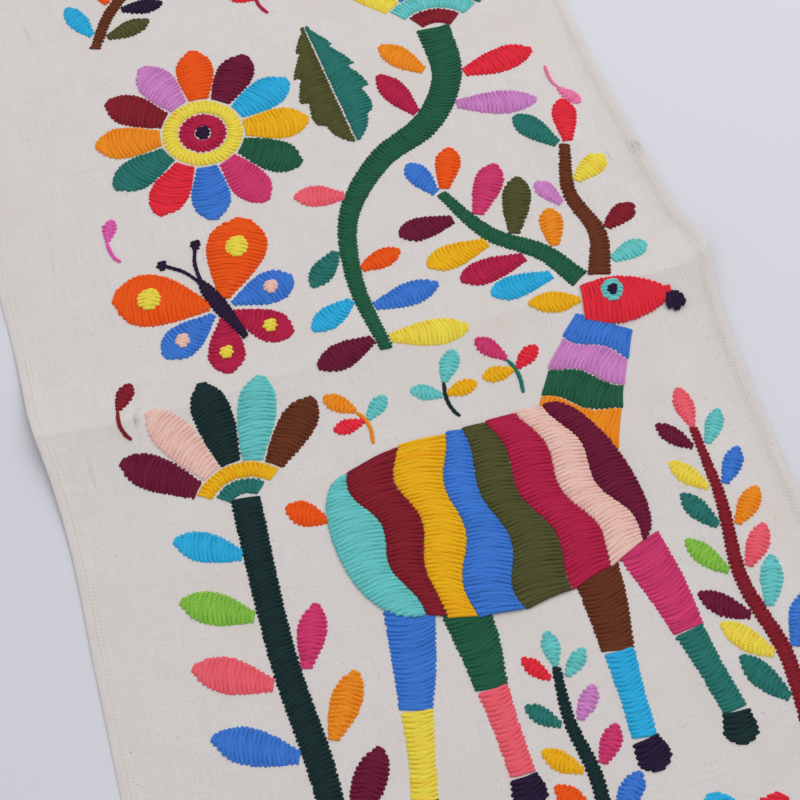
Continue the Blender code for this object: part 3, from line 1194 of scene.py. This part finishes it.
def split_leaf(root, turn, length, width, dyes, notches):
    ahead = heading(turn)
    t = np.linspace(0.0, 1.0, 90)
    path = np.array(root) + np.outer(t * length, ahead)
    swell = np.sin(np.pi * t**0.8) ** 0.8 * width / 2.0
    kept = 1.0 - NOTCH_DEPTH * ((t * notches) % 1.0) ** NOTCH_CURVE
    notched = np.maximum(swell * kept, NARROWEST_HALF)[:, None]
    side = sideways(path)
    left_half = (path + side * notched, path + side * HALF_VEIN, dyes[0], 0.0)
    right_half = (path - side * HALF_VEIN, path - side * notched, dyes[1], 0.0)
    return [left_half, right_half]


def frond(stem, widths, stem_dye, pairs, length, width, dyes, lean=55.0):
    """A stem with leaves in pairs, smaller towards its end, and one leaf at the end."""
    shapes = [ribbon(stem, widths, stem_dye)]
    path = smooth_path(stem, 100)
    side = sideways(path)
    ahead = np.stack([side[:, 1], -side[:, 0]], axis=-1)
    turns = np.degrees(np.arctan2(ahead[:, 0], ahead[:, 1]))
    for k in range(pairs):
        share = FROND_STARTS + (FROND_ENDS - FROND_STARTS) * k / max(pairs - 1, 1)
        place = int(share * 99)
        half = np.interp(share, np.linspace(0.0, 1.0, len(widths)), widths) / 2.0
        size = 1.0 - FROND_TAPER * share
        for hand in (-1, 1):
            root = path[place] - hand * side[place] * (half + LEAF_OFF_STEM)
            dye = dyes[(2 * k + (hand > 0)) % len(dyes)]
            turn = turns[place] + hand * lean
            bend = -FROND_LEAF_BEND * hand
            shapes.append(
                lobe(root, turn, length * size, width * size, dye, bend, fullest=0.58, neck=0.4)
            )
    tip = path[-1] + ahead[-1] * TIP_OFF_STEM
    long, wide = length * TIP_LENGTH, width * TIP_WIDTH
    shapes.append(lobe(tip, turns[-1], long, wide, dyes[-1], fullest=0.58))
    return shapes


STEM_LEAVES = (
    (84.5, 187, -38, 34, 17, "orange"),
    (109, 178, 84, 47, 20, "scarlet"),
    (96.5, 155, 104, 50, 19, "lilac"),
    (70, 156, -22, 38, 17, "crimson"),
    (9, 108, -74, 30, 16, "coral"),
    (-7, 70, -134, 28, 15, "jade"),
    (-8, 34, -116, 30, 16, "sky"),
    (-4, 4, -104, 36, 18, "plum"),
    (4, 54, 76, 26, 14, "flame"),
    (4, 26, 84, 40, 17, "royal"),
    (6, 2, 98, 46, 18, "lemon"),
    (-110, -104, -60, 38, 18, "sky"),
    (-113, -140.5, -60, 40, 19, "lime"),
    (-113, -180, -60, 43, 20, "coral"),
    (-110, -221, -60, 46, 20, "royal"),
    (-111, -262, -60, 46, 20, "mustard"),
    (-94, -176, 24, 36, 16, "hot_pink"),
    (-91, -217, 34, 38, 17, "orange"),
    (-92, -261, 35, 40, 18, "plum"),
)
trailing_stem = [(101, 219), (98, 180), (76, 148), (38, 128), (8, 94), (-2, 48), (2, -4)]
stem_shapes = [
    ribbon(trailing_stem, [23, 19, 18, 15, 12, 10, 8], "emerald"),
    ribbon([(-106, -296), (-101, -240), (-104, -170), (-100, -72)], [13, 15, 15, 17], "spruce"),
    ribbon([(-70, -402), (-66, -426), (-78, -450), (-74, -474)], [16, 14, 12, 9], "emerald"),
    ribbon([(-92, 422), (-88, 400), (-96, 380), (-92, 360)], [13, 12, 10, 8], "jade"),
]
stem_shapes += [leaf_of(row, fullest=0.58, neck=0.40) for row in STEM_LEAVES]
stem_shapes += split_leaf((28, 146), -4, 98, 46, ("olive", "jade"), notches=5)
leafy_stems = embroider("leafy_stems", stem_shapes, seed=25)

frond_shapes = (
    frond(
        [(-112, 266), (-98, 290), (-74, 312), (-44, 326)], [7, 8, 7, 5], "brown", 4, 30, 14,
        ("sky", "olive", "flame", "aubergine", "mustard", "jade", "maroon", "royal"),
    )
    + frond(
        [(-36, 478), (-25, 454), (-23, 424), (-31, 396)], [8, 8, 7, 5], "emerald", 4, 29, 14,
        ("scarlet", "royal", "lemon", "plum", "turquoise", "orange", "jade", "crimson"),
    )
    + frond(
        [(8, -478), (10, -452), (7, -424), (8, -396)], [7, 8, 7, 5], "jade", 4, 30, 13,
        ("orange", "maroon", "lime", "royal", "hot_pink", "mustard", "spruce", "sky"), lean=48,
    )
    + frond(
        [(28, -304), (31, -272), (28, -244), (31, -214)], [8, 8, 7, 5], "spruce", 4, 25, 13,
        ("flame", "royal", "mustard", "hot_pink", "jade", "lilac", "scarlet", "turquoise"),
        lean=48,
    )
    + frond(
        [(144, -286), (149, -244), (143, -196), (150, -150), (152, -104)], [8, 9, 8, 7, 5],
        "maroon", 7, 33, 15,
        ("jade", "orange", "lemon", "royal", "plum", "turquoise", "lime", "coral"), lean=42,
    )
)
fronds = embroider("fronds", frond_shapes, seed=26)


# The butterfly: three pairs of wings in their own colours with a spot worked over each, a narrow
# body over their roots, and feelers of stem stitch that end in a knob.
WING_COLUMNS = ("turn", "length", "width", "dye", "spot")
WINGS = (
    (46, 0.62, 0.40, "flame", "lemon"),
    (100, 0.42, 0.25, "royal", "blush"),
    (151, 0.42, 0.24, "crimson", "lemon"),
)
BUTTERFLY_AT = np.array([-82.0, 52.0])
BUTTERFLY_SIZE = 92.0
BUTTERFLY_TURN = -20.0
WING_OFF_BODY = 0.075
SPOT_AT, SPOT_SIZE = 0.64, 0.19
KNOB_SIZE = 0.036
TAIL_AT, BODY_LENGTH, BODY_WIDTH = 0.28, 0.54, 10

up = heading(BUTTERFLY_TURN) * BUTTERFLY_SIZE
aside = heading(BUTTERFLY_TURN + 90.0) * BUTTERFLY_SIZE
butterfly_shapes, feelers = [], []
for hand in (-1, 1):
    for row in WINGS:
        wing = dict(zip(WING_COLUMNS, row))
        angle = BUTTERFLY_TURN + hand * wing["turn"]
        root = BUTTERFLY_AT + heading(angle) * BUTTERFLY_SIZE * WING_OFF_BODY
        length, width = BUTTERFLY_SIZE * wing["length"], BUTTERFLY_SIZE * wing["width"]
        spot = root + heading(angle) * length * SPOT_AT
        butterfly_shapes.append(
            lobe(root, angle, length, width, wing["dye"], fullest=0.66, neck=0.2)
        )
        butterfly_shapes.append(disc(spot, width * SPOT_SIZE, wing["spot"], lift=0.8))
    feeler = [
        BUTTERFLY_AT + up * 0.22,
        BUTTERFLY_AT + up * 0.38 + aside * hand * 0.045,
        BUTTERFLY_AT + up * 0.50 + aside * hand * 0.13,
    ]
    feelers.append((feeler, "aubergine"))
    butterfly_shapes.append(disc(feeler[-1], BUTTERFLY_SIZE * KNOB_SIZE, "aubergine"))
tail = BUTTERFLY_AT - up * TAIL_AT
long = BUTTERFLY_SIZE * BODY_LENGTH
butterfly_shapes.append(
    lobe(tail, BUTTERFLY_TURN, long, BODY_WIDTH, "aubergine", neck=0.4, lift=0.5)
)
butterfly = embroider("butterfly", butterfly_shapes, seed=27, stalks=feelers)


# A hare at the far end, worked like the stag: legs first, then the banded body over them, and the
# head, ears and tail.
HARE_AT = np.array([46.0, 362.0])
HARE_SIZE = 84.0
HARE_HIP = -0.16
HARE_LEG_WIDTH = 0.15
HARE_DYES = ("mustard", "royal", "maroon", "turquoise", "olive")
HARE_LEG_COLUMNS = ("along_body", "turn", "length", "dye")
HARE_LEGS = (
    (0.40, -214, 0.36, "turquoise"),
    (0.24, -160, 0.34, "mustard"),
    (-0.20, -196, 0.34, "flame"),
    (-0.36, -132, 0.38, "maroon"),
)


def on_hare(along, up):
    return HARE_AT + np.array([along, up]) * HARE_SIZE


def hare_shapes():
    shapes = []
    for row in HARE_LEGS:
        leg = dict(zip(HARE_LEG_COLUMNS, row))
        root = on_hare(leg["along_body"], HARE_HIP)
        length, width = leg["length"] * HARE_SIZE, HARE_LEG_WIDTH * HARE_SIZE
        shapes.append(lobe(root, leg["turn"], length, width, leg["dye"], fullest=0.35, neck=0.9))
    spine = [on_hare(0.50, 0.02), on_hare(0.2, 0.06), on_hare(-0.15, 0.04), on_hare(-0.42, 0.02)]
    half_heights = [share * HARE_SIZE for share in (0.22, 0.29, 0.25, 0.17)]
    cuts = (0.0, 0.22, 0.42, 0.62, 0.81, 1.0)
    shapes += bands(spine, half_heights, cuts, HARE_DYES, 2.4, 1.2, True, lift=0.75)
    head, ear = 0.34 * HARE_SIZE, 0.33 * HARE_SIZE
    shapes += [
        lobe(on_hare(-0.36, 0.14), -80, head, 21, "flame", fullest=0.4, neck=0.8, lift=1.45),
        lobe(on_hare(-0.42, 0.25), 40, ear, 11, "royal", bend=0.1, neck=0.4),
        lobe(on_hare(-0.50, 0.27), 10, ear, 10, "lemon", bend=-0.1, neck=0.4),
        disc(on_hare(-0.53, 0.18), 3.0, "turquoise", lift=2.05),
        disc(on_hare(0.60, 0.08), 8.5, "blush"),
    ]
    return shapes


hare = embroider("hare", hare_shapes(), seed=28)


# Sprigs in the gaps between the larger motifs: a curved stalk of stem stitch with a leaf at its
# end, and on most of them one or two more to its sides.
SPRIG_COLUMNS = ("x", "y", "turn", "size", "curl", "leaves", "dye", "end_dye")
SPRIGS = (
    (-132, 100, -14, 34, 34, 1, "orchid", "orchid"),
    (160, 168, 176, 38, -30, 1, "pink", "pink"),
    (-23, -60, -8, 44, -40, 3, "orange", "orange"),
    (29, -58, -4, 46, 36, 3, "spruce", "turquoise"),
    (68, -54, -4, 46, -34, 3, "jade", "hot_pink"),
    (-152, -20, -8, 40, 40, 1, "maroon", "maroon"),
    (150, -336, 16, 40, -40, 1, "royal", "royal"),
    (-24, -322, -8, 44, 40, 3, "plum", "mustard"),
    (2, 262, -6, 44, 44, 3, "crimson", "crimson"),
    (150, 334, -12, 52, -40, 3, "jade", "orange"),
    (-124, 346, -10, 34, -40, 1, "flame", "flame"),
    (-50, 378, 170, 32, 40, 1, "royal", "mustard"),
    (60, -468, 24, 46, -40, 3, "aubergine", "coral"),
    (136, -460, -10, 48, -36, 3, "emerald", "lilac"),
    (-128, -470, 6, 44, 36, 3, "brown", "orange"),
    (44, 474, 176, 40, 40, 3, "sky", "sky"),
)
SIDE_DYES = ("royal", "mustard", "jade", "scarlet", "lilac", "turquoise")
STALK_PIECE = 0.18
SPRIG_LEAF_LENGTH = 0.46
SPRIG_LEAF_WIDTH = 0.21
SPRIG_LEAF_WIDER = 2.0
SIDE_LEAF_OFF = 1.2
SIDE_LEAF_LENGTH, SIDE_LEAF_WIDTH = 0.86, 0.9
SIDE_LEAN = 58.0
INNER_SIDE_LEAN = 86.0


def sprig(number, row):
    """The leaves of one sprig, and its stalk."""
    twig = dict(zip(SPRIG_COLUMNS, row))
    turns = twig["turn"] + twig["curl"] * np.array([-0.5, 0.0, 0.5])
    stops = [np.array([twig["x"], twig["y"]], dtype=float)]
    for turn in turns:
        stops.append(stops[-1] + heading(turn) * twig["size"] * STALK_PIECE)
    long = twig["size"] * SPRIG_LEAF_LENGTH
    wide = twig["size"] * SPRIG_LEAF_WIDTH + SPRIG_LEAF_WIDER
    end_turn = twig["turn"] + twig["curl"]
    shapes = [lobe(stops[-1], end_turn, long, wide, twig["end_dye"], fullest=0.6, neck=0.35)]
    for hand in (-1, 1)[: twig["leaves"] - 1]:
        root = stops[2] + heading(turns[1] + hand * 90.0) * SIDE_LEAF_OFF
        dye = SIDE_DYES[(2 * number + hand) % len(SIDE_DYES)]
        lean = INNER_SIDE_LEAN if hand * twig["curl"] > 0.0 else SIDE_LEAN
        leaf = root, turns[1] + hand * lean, long * SIDE_LEAF_LENGTH, wide * SIDE_LEAF_WIDTH, dye
        shapes.append(lobe(*leaf, fullest=0.6, neck=0.35))
    return shapes, (stops, twig["dye"])


sprig_shapes, sprig_stalks = [], []
for number, row in enumerate(SPRIGS):
    leaves, stalk = sprig(number, row)
    sprig_shapes += leaves
    sprig_stalks.append(stalk)
sprigs = embroider("sprigs", sprig_shapes, seed=29, stalks=sprig_stalks)


# The studio: a smooth pale table top, a wide soft light high up behind the runner and to its
# right, a weak one to its left, and an even pale surround.
FLOOR_SIZE = 8.0
TABLE_COLOUR = linear(215, 213, 217)
TABLE_ROUGHNESS = 0.55
KEY_PLACE = Vector((1.15, 1.25, 1.65))
KEY_SIZE = 3.0
KEY_POWER = 32.0
FILL_PLACE = Vector((-1.2, -0.2, 1.9))
FILL_SIZE = 2.0
FILL_POWER = 3.0
SURROUND = linear(236, 238, 246)
SURROUND_STRENGTH = 0.71

floor_mesh = bpy.data.meshes.new("table_top")
half = FLOOR_SIZE / 2.0
floor_mesh.from_pydata(
    [(-half, -half, 0.0), (half, -half, 0.0), (half, half, 0.0), (-half, half, 0.0)],
    [],
    [(0, 1, 2, 3)],
)
floor = bpy.data.objects.new("table_top", floor_mesh)
bpy.context.scene.collection.objects.link(floor)
table_shade = Shade("pale_table")
table_shade.shader.inputs["Base Color"].default_value = TABLE_COLOUR
table_shade.shader.inputs["Roughness"].default_value = TABLE_ROUGHNESS
floor_mesh.materials.append(table_shade.material)

for name, place, size, power in (
    ("key", KEY_PLACE, KEY_SIZE, KEY_POWER),
    ("fill", FILL_PLACE, FILL_SIZE, FILL_POWER),
):
    lamp = bpy.data.objects.new(name, bpy.data.lights.new(name, "AREA"))
    lamp.data.shape = "DISK"
    lamp.data.size = size
    lamp.data.energy = power
    lamp.location = place
    lamp.rotation_euler = place.to_track_quat("Z", "Y").to_euler()
    bpy.context.scene.collection.objects.link(lamp)

world = bpy.data.worlds.new("surround")
world.use_nodes = True
world.node_tree.nodes["Background"].inputs["Color"].default_value = SURROUND
world.node_tree.nodes["Background"].inputs["Strength"].default_value = SURROUND_STRENGTH
bpy.context.scene.world = world
bpy.context.scene.view_settings.view_transform = "Standard"
